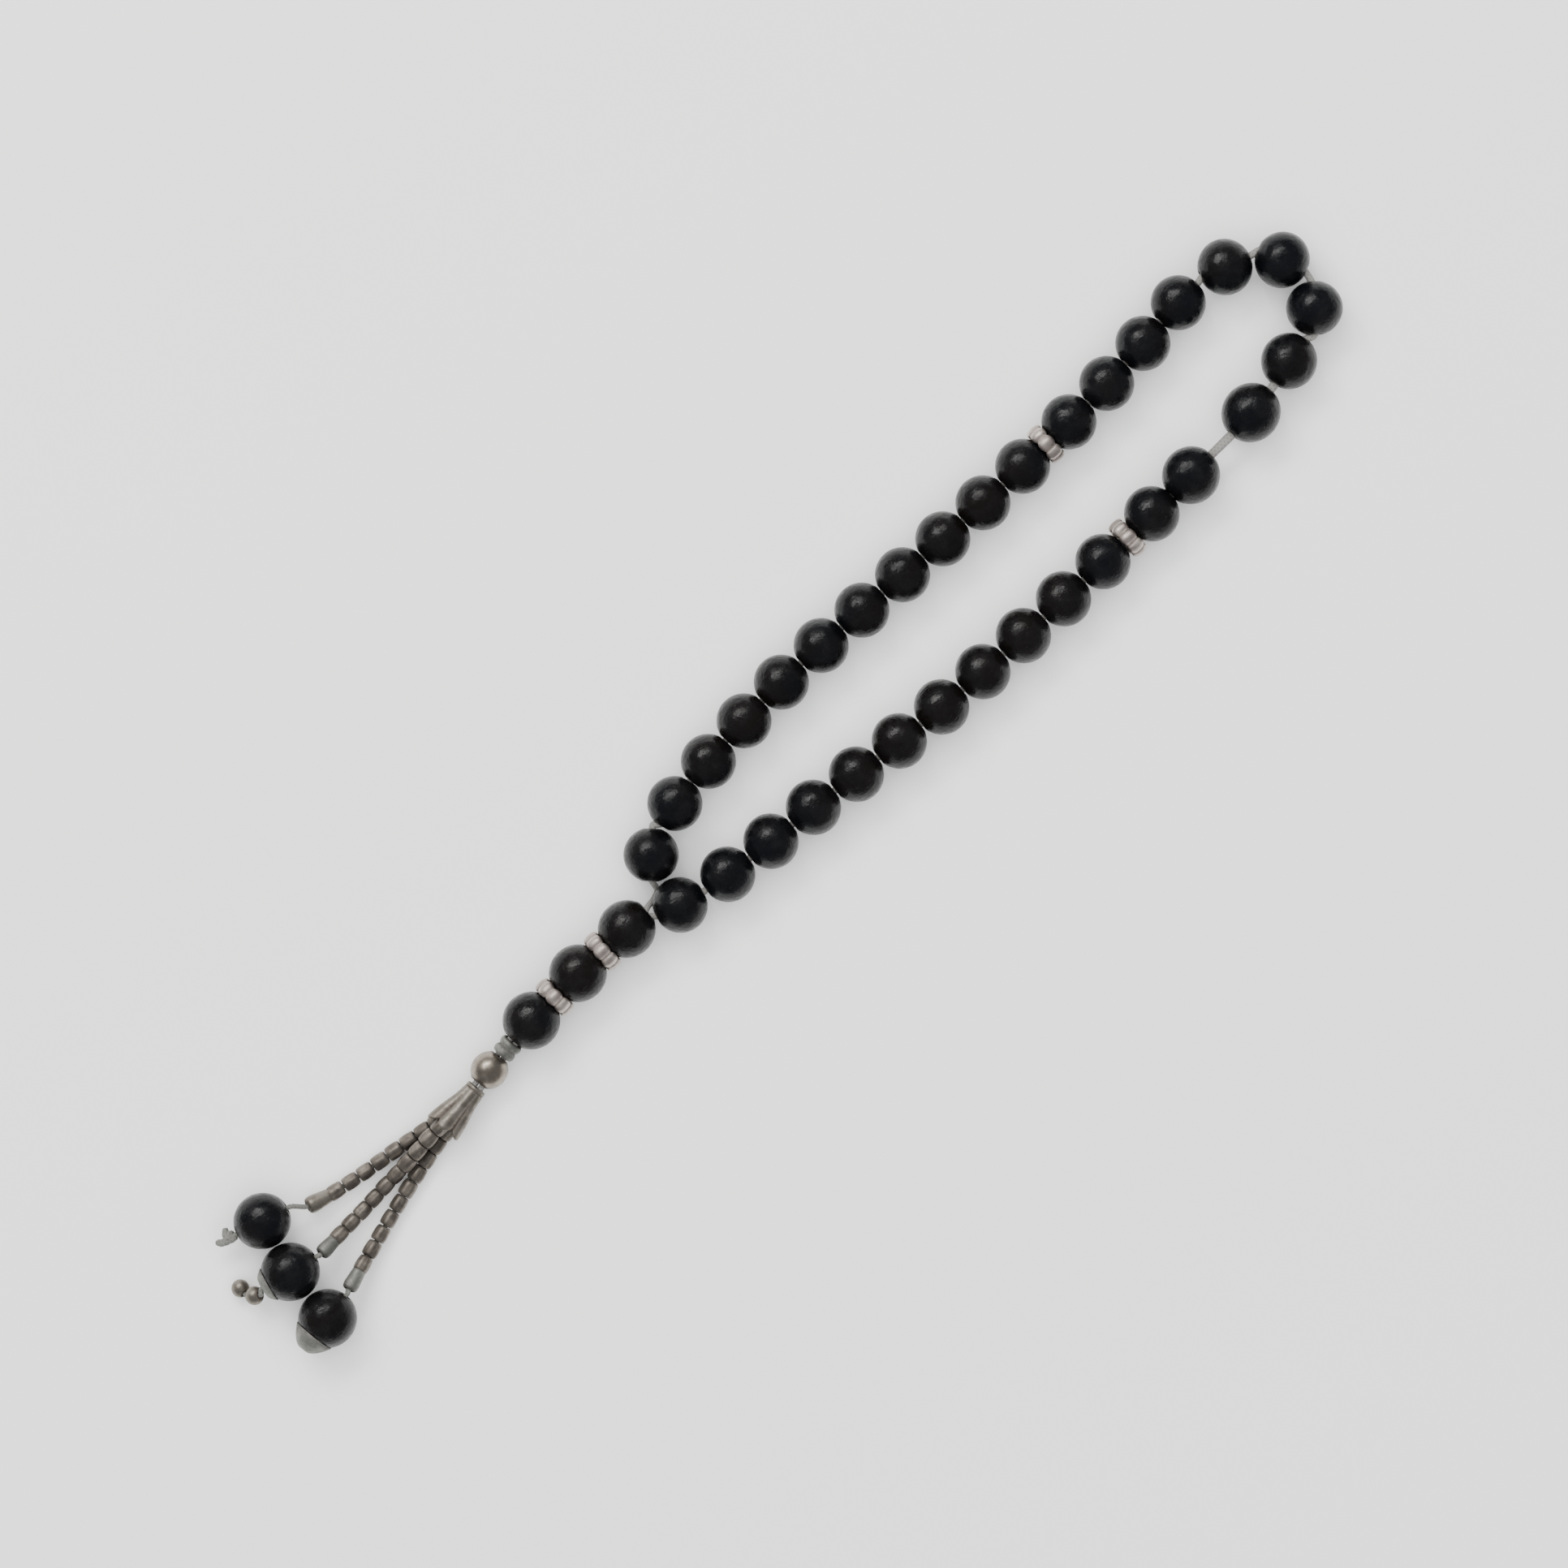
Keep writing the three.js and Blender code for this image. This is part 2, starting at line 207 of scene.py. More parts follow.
def spun_tree():
    """Spins the profile it is given round X. Petals push it in and out, counted from the top."""
    sockets = {"Facets": "Int", "Petals": "Int", "Sharpness": "Float", "Finish": "Material"}
    group, tree, given, identifiers = geometry_tree("spun piece", sockets)
    profile = given["Geometry"]
    points = tree.make("GeometryNodeAttributeDomainSize", {"component": "MESH"},
                       {"Geometry": profile}, "Point Count")
    sizes = {"Size X": 1.0, "Size Y": 1.0, "Vertices X": points, "Vertices Y": given["Facets"] + 1}
    grid = tree.make("GeometryNodeMeshGrid", {}, sizes, "Mesh")
    spot = tree.make("GeometryNodeInputPosition")
    across = tree.make("ShaderNodeSeparateXYZ", {}, {0: spot})
    row = ((across["X"] + 0.5) * (points - 1)).math("ROUND")
    angle = (across["Y"] + 0.5) * math.tau

    def from_profile(value, kind):
        return tree.make("GeometryNodeSampleIndex", {"data_type": kind, "domain": "POINT"},
                         {"Geometry": profile, "Value": value, "Index": row})

    outline = tree.make("ShaderNodeSeparateXYZ", {}, {0: from_profile(spot, "FLOAT_VECTOR")})
    depth = from_profile(named(tree, "petal_depth"), "FLOAT")
    crest = abs((angle * given["Petals"] / 2).math("COSINE")) ** given["Sharpness"]
    wave = 2 * crest - 1
    radius = outline["Y"] * (1 + depth * wave)
    along = outline["X"] + from_profile(named(tree, "scallop"), "FLOAT") * wave
    turned = {"X": along, "Y": radius * angle.math("SINE"), "Z": radius * angle.math("COSINE")}
    # Tarnish and painted shade gather in the creases between petals, more as the petals get deeper
    crease = (1 - crest) * (abs(depth) * CREASE_TARNISH_AND_SHADE).math("MINIMUM", 1.0)
    tarnish = (from_profile(named(tree, "tarnish"), "FLOAT") + crease).math("MINIMUM", 1.0)
    tarnished_and_shaded = keep_number(tree, grid, "tarnish", tarnish)  # before the grid's points move
    round_x = tree.make("ShaderNodeCombineXYZ", {}, turned)
    wrapped = tree.make("GeometryNodeSetPosition", {}, {"Geometry": tarnished_and_shaded, "Position": round_x})
    closed = tree.make("GeometryNodeMergeByDistance", {}, {"Geometry": wrapped, "Distance": MERGE})
    smooth = tree.make("GeometryNodeSetShadeSmooth", {}, {"Geometry": closed})
    end_tree(tree, smooth, given["Finish"])
    return group, identifiers


def strung_tree():
    """Strings a bead along the route it is given, each rolled and sized a little differently.

    Growth is how much wider the first one is than the last.
    """
    sockets = {"Bead": "Object", "Pitch": "Float", "Growth": "Float", "Unevenness": "Float",
               "Seed": "Int", "Finish": "Material"}
    group, tree, given, identifiers = geometry_tree("strung beads", sockets)
    route = tree.make("GeometryNodeMeshToCurve", {}, {"Mesh": given["Geometry"]})
    spaced = tree.make("GeometryNodeResampleCurve", {"mode": "LENGTH"},
                       {"Curve": route, "Length": given["Pitch"]})
    tangent = tree.make("GeometryNodeInputTangent")
    facing = tree.make("FunctionNodeAlignRotationToVector", {"axis": "X"}, {"Vector": tangent})
    roll = tree.make("FunctionNodeRandomValue", {"data_type": "FLOAT"},
                     {2: 0.0, 3: math.tau, "Seed": given["Seed"]}, 1)
    turn = tree.make("ShaderNodeCombineXYZ", {}, {"X": roll})
    rolled = tree.make("FunctionNodeRotateRotation", {"rotation_space": "LOCAL"},
                       {"Rotation": facing, "Rotate By": turn})
    limits = {2: 1 - given["Unevenness"], 3: 1 + given["Unevenness"], "Seed": given["Seed"] + 1}
    uneven = tree.make("FunctionNodeRandomValue", {"data_type": "FLOAT"}, limits, 1)
    size = uneven * (1 + given["Growth"] * (1 - tree.make("GeometryNodeSplineParameter")))
    bead = tree.make("GeometryNodeObjectInfo", {}, {"Object": given["Bead"]}, "Geometry")
    scale = tree.make("ShaderNodeCombineXYZ", {}, {"X": 1.0, "Y": size, "Z": size})
    placed = tree.make("GeometryNodeInstanceOnPoints", {},
                       {"Points": spaced, "Instance": bead, "Rotation": rolled, "Scale": scale})
    end_tree(tree, placed, given["Finish"])
    return group, identifiers


SPUN, SPUN_INPUTS = spun_tree()
STRUNG, STRUNG_INPUTS = strung_tree()


def grown(name, mesh, tree, identifiers, values):
    """Runs a tree on a mesh and keeps the result as a plain mesh."""
    piece = bpy.data.objects.new(name, mesh)
    bpy.context.scene.collection.objects.link(piece)
    modifier = piece.modifiers.new("shape", "NODES")
    modifier.node_group = tree
    for label, value in values.items():
        modifier[identifiers[label]] = value
    seen = piece.evaluated_get(bpy.context.evaluated_depsgraph_get())
    plain = bpy.data.meshes.new_from_object(seen)
    piece.modifiers.clear()
    piece.data = plain
    return piece


def face_outwards(mesh):
    shape = bmesh.new()
    shape.from_mesh(mesh)
    bmesh.ops.recalc_face_normals(shape, faces=shape.faces)
    shape.to_mesh(mesh)
    shape.free()


def spun(name, profile, finish, facets, petals=1, sharpness=2.0):
    """A piece spun round X. A profile row is along, radius, petal depth, scallop and tarnish with
    painted shade.

    Along, radius and scallop are in mm. A row may leave out what is zero at its end.
    """
    rows = [tuple(row) + (0.0,) * (5 - len(row)) for row in profile]
    rows.append(rows[0])
    outline = bpy.data.meshes.new(name)
    outline.from_pydata([(row[0] * MM, row[1] * MM, 0) for row in rows], [], [])
    columns = {"petal_depth": (2, 1), "scallop": (3, MM), "tarnish": (4, 1)}
    for label, (column, unit) in columns.items():
        numbers = outline.attributes.new(label, "FLOAT", "POINT")
        numbers.data.foreach_set("value", [row[column] * unit for row in rows])
    values = {"Facets": facets, "Petals": petals, "Sharpness": sharpness, "Finish": finish}
    piece = grown(name, outline, SPUN, SPUN_INPUTS, values)
    face_outwards(piece.data)
    return piece


def settle(piece, at, heading, slope=0.0):
    """Turns a piece from the X axis to its heading and slope, and moves it to its place."""
    turn = Matrix.Rotation(heading, 4, "Z") @ Matrix.Rotation(-slope, 4, "Y")
    piece.data.transform(Matrix.Translation(at) @ turn)
    return piece


def settle_along(piece, at, start, end):
    """Moves a piece to its place, with its X axis the way that start looks to end."""
    return settle(piece, at, flat_heading(start, end), slope_between(start, end))


# ---------------------------------------------------------------- routes and tubes

def smooth_route(points, steps=10, tension=0.5):
    """A Catmull-Rom curve through the points, steps short runs to each stretch."""
    ends = [2 * points[0] - points[1], *points, 2 * points[-1] - points[-2]]
    route = []
    for before, start, end, after in zip(ends, ends[1:], ends[2:], ends[3:]):
        leave = (end - before) * tension
        arrive = (after - start) * tension
        for i in range(steps):
            t = i / steps
            cubic = (2 * t**3 - 3 * t**2 + 1, t**3 - 2 * t**2 + t, 3 * t**2 - 2 * t**3, t**3 - t**2)
            route.append(start * cubic[0] + leave * cubic[1] + end * cubic[2] + arrive * cubic[3])
    return [*route, points[-1].copy()]


def travelled(route):
    """How far along the route each of its points is."""
    far = [0.0]
    for start, end in zip(route, route[1:]):
        far.append(far[-1] + (end - start).length)
    return far


def cut(route, start, end):
    """The stretch of a route from start to end, in metres along it."""
    far = travelled(route)

    def spot(distance):
        for i in range(1, len(route)):
            if far[i] >= distance:
                share = (distance - far[i - 1]) / max(far[i] - far[i - 1], 1e-9)
                return route[i - 1].lerp(route[i], share)
        return route[-1].copy()

    inner = [p for p, d in zip(route, far) if start < d < end]
    return [spot(start), *inner, spot(end)]


def rings(route, half_width, half_height, sides, plies, ply_depth, lay, ends):
    """Rings of a laid cord: its plies bulge from it and turn once in each lay length.

    Each end closes in to that share of the cord's width. No route starts upright.
    """
    far = travelled(route)
    across = UP.cross(route[1] - route[0])
    made = []
    for i, spot in enumerate(route):
        along = (route[min(i + 1, len(route) - 1)] - route[max(i - 1, 0)]).normalized()
        across = (across - along * across.dot(along)).normalized()
        up = along.cross(across)
        near_end = min(far[i], far[-1] - far[i]) / (END_TAPER * half_width)
        narrow = ends + (1 - ends) * math.sqrt(min(1.0, near_end))
        ring = []
        for k in range(sides):
            angle = math.tau * k / sides
            crest = abs(math.cos(plies * (angle - math.tau * far[i] / lay) / 2))
            bulge = 1 + ply_depth * (crest - MEAN_CREST)
            side = across * (half_width * math.cos(angle) * bulge * narrow)
            ring.append(spot + side + up * (half_height * math.sin(angle) * bulge * narrow))
        made.append(ring)
    return made, far


def tube(name, routes, finish, half_width, half_height=None, *, plies, ply_depth, lay, sides=16,
         ends=1.0):
    """One mesh of closed tubes along the routes. Its UV map has u round the tube, v in mm along."""
    height = half_height or half_width
    corners, faces, uvs = [], [], []
    for route in routes:
        first = len(corners)
        made, far = rings(route, half_width * MM, height * MM, sides, plies, ply_depth, lay * MM,
                          ends)
        corners += [corner for ring in made for corner in ring]
        for i in range(len(made) - 1):
            for k in range(sides):
                here, beside = first + i * sides, (k + 1) % sides
                faces.append((here + k, here + beside, here + sides + beside, here + sides + k))
                u, wide, v, long = k / sides, (k + 1) / sides, far[i] / MM, far[i + 1] / MM
                uvs += [(u, v), (wide, v), (wide, long), (u, long)]
        last = first + (len(made) - 1) * sides
        lids = ((first, route[0], -1, 0.0), (last, route[-1], 1, far[-1] / MM))
        for start, spot, order, v in lids:
            hub = len(corners)
            corners.append(spot)
            for k in range(sides):
                pair = (start + k, start + (k + 1) % sides)[::order]
                faces.append((*pair, hub))
                uvs += [(k / sides, v)] * 3
    mesh = bpy.data.meshes.new(name)
    mesh.from_pydata(corners, [], faces)
    mesh.uv_layers.new(name="UVMap").data.foreach_set("uv", [number for uv in uvs for number in uv])
    mesh.materials.append(finish)
    mesh.shade_smooth()
    face_outwards(mesh)
    piece = bpy.data.objects.new(name, mesh)
    bpy.context.scene.collection.objects.link(piece)
    return piece


# ---------------------------------------------------------------- finishes

def new_finish(name):
    material = bpy.data.materials.new(name)
    material.use_nodes = True
    material.node_tree.nodes.clear()
    return material, Tree(material.node_tree)


def finished(tree, surface, **constants):
    """The shader of a finish. A surface value is a wire or a number, a constant a plain number."""
    for name, value in constants.items():
        surface[name.replace("_", " ")] = value
    shader = tree.make("ShaderNodeBsdfPrincipled", {}, surface)
    tree.make("ShaderNodeOutputMaterial", {}, {"Surface": shader})


def noise(tree, where, scale, detail=3.0, roughness=0.55, distortion=0.0):
    return tree.make("ShaderNodeTexNoise", {}, {
        "Vector": where, "Scale": scale, "Detail": detail, "Roughness": roughness,
        "Distortion": distortion,
    })


def bumped(tree, height, strength, distance):
    values = {"Height": height, "Strength": strength, "Distance": distance}
    return tree.make("ShaderNodeBump", {}, values)


def object_space(tree):
    return tree.make("ShaderNodeTexCoord", {}, {}, "Object")


def stretched(tree, where, scale):
    return tree.make("ShaderNodeMapping", {}, {"Vector": where, "Scale": scale})


def black_finish():
    """Polished near-black resin: cloudy depth, a hazy polish, hairline scratches and small pits."""
    material, tree = new_finish("polished black")
    where = object_space(tree)
    cloud = noise(tree, where, 70, 2).spread(0.35, 0.65)
    mottle = noise(tree, where, 420, 5, 0.6, 0.4).spread(0.38, 0.7)
    haze = noise(tree, where, 900, 4, 0.7).spread(0.35, 0.7)
    hairlines = noise(tree, stretched(tree, where, (900, 5200, 2600)), 1.0, 3).spread(0.66, 0.74)
    cells = tree.make("ShaderNodeTexVoronoi", {"feature": "F1"}, {"Vector": where, "Scale": 950.0})
    pits = cells.spread(0.0, 0.16, 1, 0)
    facets = noise(tree, where, 1300, 2, 0.5, 0.3)
    deep = tree.mix(cloud, (0.0018, 0.0022, 0.0031), (0.0036, 0.0026, 0.0023))
    colour = tree.mix(mottle * 0.5, deep, (0.0065, 0.0065, 0.0072))
    worn = tree.mix(hairlines * 0.3, colour, (0.028, 0.027, 0.027))
    grain = facets * 1.3 + mottle * 0.7 - pits * 0.6 - hairlines * 0.2
    finished(tree, {
        "Base Color": worn,
        "Roughness": 0.22 + haze * 0.16 + hairlines * 0.1,
        "Normal": bumped(tree, grain, 0.32, 0.00016),
    }, Specular_IOR_Level=0.22)
    return material


def silver_finish(name, bright, dull, dark, shine, dents):
    """Silver with tarnish and painted shade in its creases and holes, and rubbed bright on its high
    places.

    Shine is the roughness of the brightest silver, dents how strongly its casting marks show.
    """
    material, tree = new_finish(name)
    where = object_space(tree)
    crease = tree.make("ShaderNodeAttribute", {"attribute_name": "tarnish"}, {}, "Fac")
    patch = noise(tree, where, 520, 4, 0.6, 0.3)
    specks = noise(tree, where, 2100, 3, 0.65)
    rubbed = tree.mix(patch.spread(0.36, 0.66), dull, bright)
    # The mesh's mark is tarnish and painted shade in creases and holes; random patches and specks
    # add real stains
    stain_and_shade = (crease * 0.9 + (patch - 0.5) * 0.9 + (specks - 0.5) * 0.6).spread(0.1, 0.85)
    colour = tree.mix(stain_and_shade, rubbed, dark)
    height = patch * 0.8 + specks * 0.35 - crease * 0.6
    finished(tree, {
        "Base Color": colour,
        "Metallic": 0.95 - stain_and_shade * 0.45,
        "Roughness": shine + specks.spread(0.3, 0.75) * 0.14 + stain_and_shade * 0.22,
        "Normal": bumped(tree, height, dents, 0.00016),
    })
    return material


def cord_finish(name, light, shade_and_soil, strands, stitches, fuzz):
    """Braided cord: two sets of yarns that cross, with painted shade where they dive, and loose
    fuzz.

    Strands go round the cord, and stitches are for each mm along it.
    """
    material, tree = new_finish(name)
    uv = tree.make("ShaderNodeUVMap", {"uv_map": "UVMap"})
    spot = tree.make("ShaderNodeSeparateXYZ", {}, {0: uv})
    around, along = spot["X"] * strands, spot["Y"] * stitches
    one = abs(((around + along) * math.pi).math("SINE"))
    other = abs(((around - along) * math.pi).math("SINE"))
    over = ((around * math.tau).math("SINE") * (along * math.tau).math("SINE")).spread(-0.2, 0.2)
    yarn = one * over + other * (1 - over)
    fibre = noise(tree, stretched(tree, uv, (40, 9, 1)), 1.0, 4, 0.65)
    soil = noise(tree, object_space(tree), 380, 3).spread(0.35, 0.7)
    # The yarns go from light to painted shade where they dive; soil is random dirt in the same dark
    # colour
    lit = tree.mix(yarn.spread(0.15, 0.75), shade_and_soil, light)
    soiled = tree.mix(soil * 0.35, lit, shade_and_soil)
    colour = tree.mix(fibre.spread(0.3, 0.8) * 0.4, soiled, light)
    finished(tree, {
        "Base Color": colour,
        "Roughness": 0.68 + fibre * 0.2,
        "Normal": bumped(tree, yarn + fibre * fuzz, 0.55, 0.00012),
    }, Sheen_Weight=0.25, Sheen_Roughness=0.5, Specular_IOR_Level=0.3)
    return material


def floor_finish():
    """Plain pale board with a barely visible tooth."""
    material, tree = new_finish("pale board")
    where = object_space(tree)
    tooth = noise(tree, where, 900, 3)
    tone = noise(tree, where, 9, 2)
    finished(tree, {
        "Base Color": tree.mix(tone * 0.35, (0.94, 0.94, 0.935), (0.91, 0.91, 0.905)),
        "Roughness": 0.75 + tooth * 0.15,
        "Normal": bumped(tree, tooth, 0.05, 0.0001),
    }, Specular_IOR_Level=0.2)
    return material


BLACK = black_finish()
SATIN = silver_finish("satin silver", bright=(0.34, 0.30, 0.25), dull=(0.24, 0.21, 0.175),
                      dark=(0.07, 0.055, 0.045), shine=0.30, dents=0.12)
CAST = silver_finish("cast silver", bright=(0.62, 0.55, 0.50), dull=(0.46, 0.40, 0.365),
                     dark=(0.20, 0.165, 0.145), shine=0.44, dents=0.3)
ANTIQUE = silver_finish("antique silver", bright=(0.30, 0.275, 0.235), dull=(0.20, 0.18, 0.152),
                        dark=(0.075, 0.06, 0.05), shine=0.44, dents=0.45)
WORN = silver_finish("worn silver", bright=(0.28, 0.25, 0.215), dull=(0.165, 0.145, 0.125),
                     dark=(0.06, 0.048, 0.04), shine=0.5, dents=0.4)
PALE = silver_finish("pale silver", bright=(0.33, 0.33, 0.305), dull=(0.25, 0.25, 0.23),
                     dark=(0.10, 0.095, 0.085), shine=0.6, dents=0.3)
CORD = cord_finish("pale cord", light=(0.24, 0.232, 0.218), shade_and_soil=(0.115, 0.11, 0.102),
                   strands=4, stitches=1.6, fuzz=0.35)
THREAD = cord_finish("grey thread", light=(0.15, 0.15, 0.135), shade_and_soil=(0.06, 0.06, 0.052),
                     strands=3, stitches=1.9, fuzz=0.5)


def attach(piece, body, slot, *nodes):
    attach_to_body(piece, body)
    if nodes:
        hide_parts(*nodes)
    return piece


# ---------------------------------------------------------------- black beads

def bead_profile(wide, long, hole):
    """A round bead with its own length along its hole, and a rounded countersink at each end."""
    radius = wide / 2
    rim = hole + SINK_WIDTH
    end = long / 2
    lead_in = math.asin(rim / radius)
    reach = end / math.cos(lead_in)
    arc = []
    for i in range(BEAD_STEPS + 1):
        angle = lead_in + (math.pi - 2 * lead_in) * i / BEAD_STEPS
        arc.append((reach * math.cos(angle), radius * math.sin(angle)))
    sink = [(end - 0.03, rim - 0.1), (end - 0.14, rim - 0.19), (end - 0.38, hole + 0.04),
            (end - 0.6, hole)]
    far_sink = [(-along, r) for along, r in sink]
    return [*arc, *far_sink, *reversed(sink)]


def bead_name(number):
    return f"bead_{number:02d}"


loop_places = [middle(bead_name(i + 1)) for i in range(LOOP_COUNT)]
leader_places = [middle(f"leader_bead_{i + 1}") for i in range(3)]
loop_turns = [math.radians(FIRST_BEAD_TURN)]
for i in range(1, LOOP_COUNT):
    after = loop_places[i + 1] if i + 1 < LOOP_COUNT else leader_places[0]
    loop_turns.append(flat_heading(loop_places[i - 1], after))
mouth = (place(*LEADER_MOUTH[0]) + place(*LEADER_MOUTH[1])) / 2
leader_turns = [
    flat_heading(mouth, leader_places[1]),
    flat_heading(leader_places[0], leader_places[2]),
    flat_heading(leader_places[1], leader_places[2]),
]


def black_bead(name, node, body, turn, hole, long=None):
    wide = width(node) / MM
    piece = spun(name, bead_profile(wide, long or BEAD_LENGTH * wide, hole), BLACK, BEAD_FACETS)
    settle(piece, middle(node), turn)
    return attach(piece, body, "bead", node)


for i, turn in enumerate(loop_turns):
    node = bead_name(i + 1)
    black_bead(f"round_{node}", node, node, turn, LOOP_HOLE, LONGER.get(i + 1, ROW_BEAD_LENGTH))
for i, turn in enumerate(leader_turns):
    node = f"leader_bead_{i + 1}"
    black_bead(f"round_{node}", node, node, turn, LEADER_HOLE)

# ---------------------------------------------------------------- daisy spacers

DAISY_HALF = [  # along, radius, petal depth, scallop, tarnish and painted shade
    (0.6, 1.35, 0, 0, 0.4), (0.62, 1.5, 0, 0, 0.8), (0.72, 1.62, 0.01, 0.02, 0.5),
    (0.9, 1.82, 0.02, 0.1, 0.1), (1.02, 2.1, 0.04, 0.15, 0), (1.02, 2.36, 0.06, 0.15, 0),
    (0.9, 2.58, 0.07, 0.13, 0), (0.62, 2.73, 0.08, 0.08, 0), (0.22, 2.79, 0.08, 0.02, 0),
]


def daisy(name, node, body, heading, hole):
    """A spacer of eight round petals, the same on both faces."""
    far_half = [(-along, r, depth, -scallop, tarnish)
                for along, r, depth, scallop, tarnish in reversed(DAISY_HALF)]
    # Its hole is darkened with tarnish and painted shade
    profile = [(0.5, hole, 0, 0, 1), *DAISY_HALF, *far_half, (-0.5, hole, 0, 0, 1)]
    piece = spun(name, profile, CAST, 96, petals=8, sharpness=0.7)
    settle(piece, middle(node), heading)
    return attach(piece, body, "silver", node)


for name, node, body, neighbours, hole in (
    ("daisy_left", "divider_left", "divider_left", loop_places[10:12], LOOP_HOLE),
    ("daisy_right", "divider_right", "divider_right", loop_places[21:23], LOOP_HOLE),
    ("leader_daisy_1", "leader_spacer_1", "leader_bead_2", leader_places[:2], LEADER_HOLE),
    ("leader_daisy_2", "leader_spacer_2", "leader_bead_3", leader_places[1:], LEADER_HOLE),
):
    daisy(name, node, body, flat_heading(*neighbours), hole)

# ---------------------------------------------------------------- ball, collar and cone

BALL_AT = place(-57.1, 0.25, 2.72)
COLLAR_AT = place(-53.05, 0.65, 3.4)
CONE_FROM = place(-60.05, -0.3, 2.85)
CONE_TO = place(-67.2, -0.95, 3.05)
CONE_LENGTH = (CONE_TO - CONE_FROM).length / MM


def ball_profile(wide, long, hole, steps=26):
    """A ball with a hole, darkened round the hole's rim and inside it by tarnish and painted shade.
    """
    radius = wide / 2
    end = math.asin(hole / radius)
    reach = long / 2 / math.cos(end)
    rows = []
    for i in range(steps + 1):
        angle = end + (math.pi - 2 * end) * i / steps
        near_hole = max(0.0, 1 - min(i, steps - i) / 3)
        rows.append((reach * math.cos(angle), radius * math.sin(angle), 0, 0, near_hole))
    inner = hole - 0.08
    return [*rows, (-long / 2 + 0.3, inner, 0, 0, 1), (long / 2 - 0.3, inner, 0, 0, 1)]


ball = spun("satin_ball", ball_profile(5.3, 4.77, 1.3), SATIN, 48)
settle(ball, BALL_AT, flat_heading(COLLAR_AT, CONE_FROM), slope_between(BALL_AT, CONE_FROM))
attach(ball, "stop_ball", "silver", "stop_ball")

# The collar has two round lobes, the second a mirror of the first
# Its ends and the waist between its lobes are darkened with tarnish and painted shade
COLLAR_LOBE = [
    (1.22, 1.2, 0, 0, 1), (1.27, 1.3, 0, 0, 0.6), (1.17, 1.56, 0.02, 0, 0.1),
    (0.78, 1.72, 0.03, 0, 0), (0.38, 1.64, 0.03, 0, 0.1), (0.1, 1.44, 0.02, 0, 0.7),
]
collar_profile = [*COLLAR_LOBE, *[(-row[0], *row[1:]) for row in reversed(COLLAR_LOBE)]]
collar = spun("small_collar", collar_profile, PALE, 60, petals=6, sharpness=1.0)
settle_along(collar, COLLAR_AT, leader_places[2], BALL_AT)
attach(collar, "stop_ball", "silver", "collar_bead")

CONE_OUTSIDE = [  # along, radius, petal depth, scallop, tarnish and painted shade
    (0, 1.2, 0, 0, 1), (0.02, 1.42, 0, 0, 0.6), (0.15, 1.52, 0.01, 0, 0.1),
    (0.45, 1.56, 0.02, 0, 0), (0.62, 1.48, 0.02, 0, 0.9), (0.8, 1.56, 0.03, 0, 0.1),
    (1.6, 1.64, 0.05, 0, 0), (2.6, 1.77, 0.07, 0, 0), (3.8, 2.05, 0.09, 0.04, 0),
    (5.0, 2.34, 0.1, 0.14, 0), (6.0, 2.55, 0.1, 0.28, 0),
    (CONE_LENGTH - 0.35, 2.68, 0.1, 0.42, 0), (CONE_LENGTH - 0.08, 2.7, 0.1, 0.48, 0),
]
# The inside is darkened all through with tarnish and painted shade
CONE_INSIDE = [
    (CONE_LENGTH, 2.58, 0.1, 0.5, 0.2), (CONE_LENGTH - 0.1, 2.42, 0.09, 0.46, 0.9),
    (6.0, 2.24, 0.09, 0.26, 1), (5.0, 2.03, 0.08, 0.12, 1), (3.6, 1.65, 0.05, 0, 1),
    (2.6, 1.4, 0.02, 0, 1), (0.4, 1.18, 0, 0, 1),
]
cone = spun("fluted_cone", [*CONE_OUTSIDE, *CONE_INSIDE], ANTIQUE, 120, petals=6, sharpness=0.9)
settle_along(cone, CONE_FROM, CONE_FROM, CONE_TO)
attach(cone, "tassel_cone", "silver", "tassel_cone")

# ---------------------------------------------------------------- the cord

CORD_HALF = 0.45  # mm, half its thickness where it is round
FLAT_CORD = (0.52, 0.42)  # mm, half its width and height between the loop beads
BARE_CORD = (0.66, 0.4)  # mm, the same along the bare stretch
BRAID = {"plies": 4, "ply_depth": 0.08, "lay": 3.0}  # its lay is in mm
LEG = 0.52  # mm, each leg's distance from the leader's middle line
SLACK = 0.2  # how far a cord swings out at its bends, where 0.5 is a free curve
IN_HOLE = 0.15  # where a stretch of cord ends inside a bead, as a share of the bead's width
AT_RIM = 0.42  # where it leaves the bead
BENDS = {1: (-16.1, 8.9, 3.95), 18: (99.1, -6.82, 4.05)}  # a point between a bead and the next
UNDER_THE_LAST_BEAD = [
    (-24.75, 1.15, 2.8), (-23.5, 1.3, 1.2), (-22.15, 1.85, 1.15), (-22, 2.4, 2.4),
]


def in_bead(number, share):
    """A point on a loop bead's hole, share of its width from the middle towards the next bead."""
    direction = Vector((math.cos(loop_turns[number - 1]), math.sin(loop_turns[number - 1]), 0))
    return loop_places[number - 1] + direction * (share * width(bead_name(number)))


def loop_cord(name, points, body, half_width, half_height):
    piece = tube(name, [smooth_route(points, 10, SLACK)], CORD, half_width, half_height, **BRAID)
    return attach(piece, body, "cord")


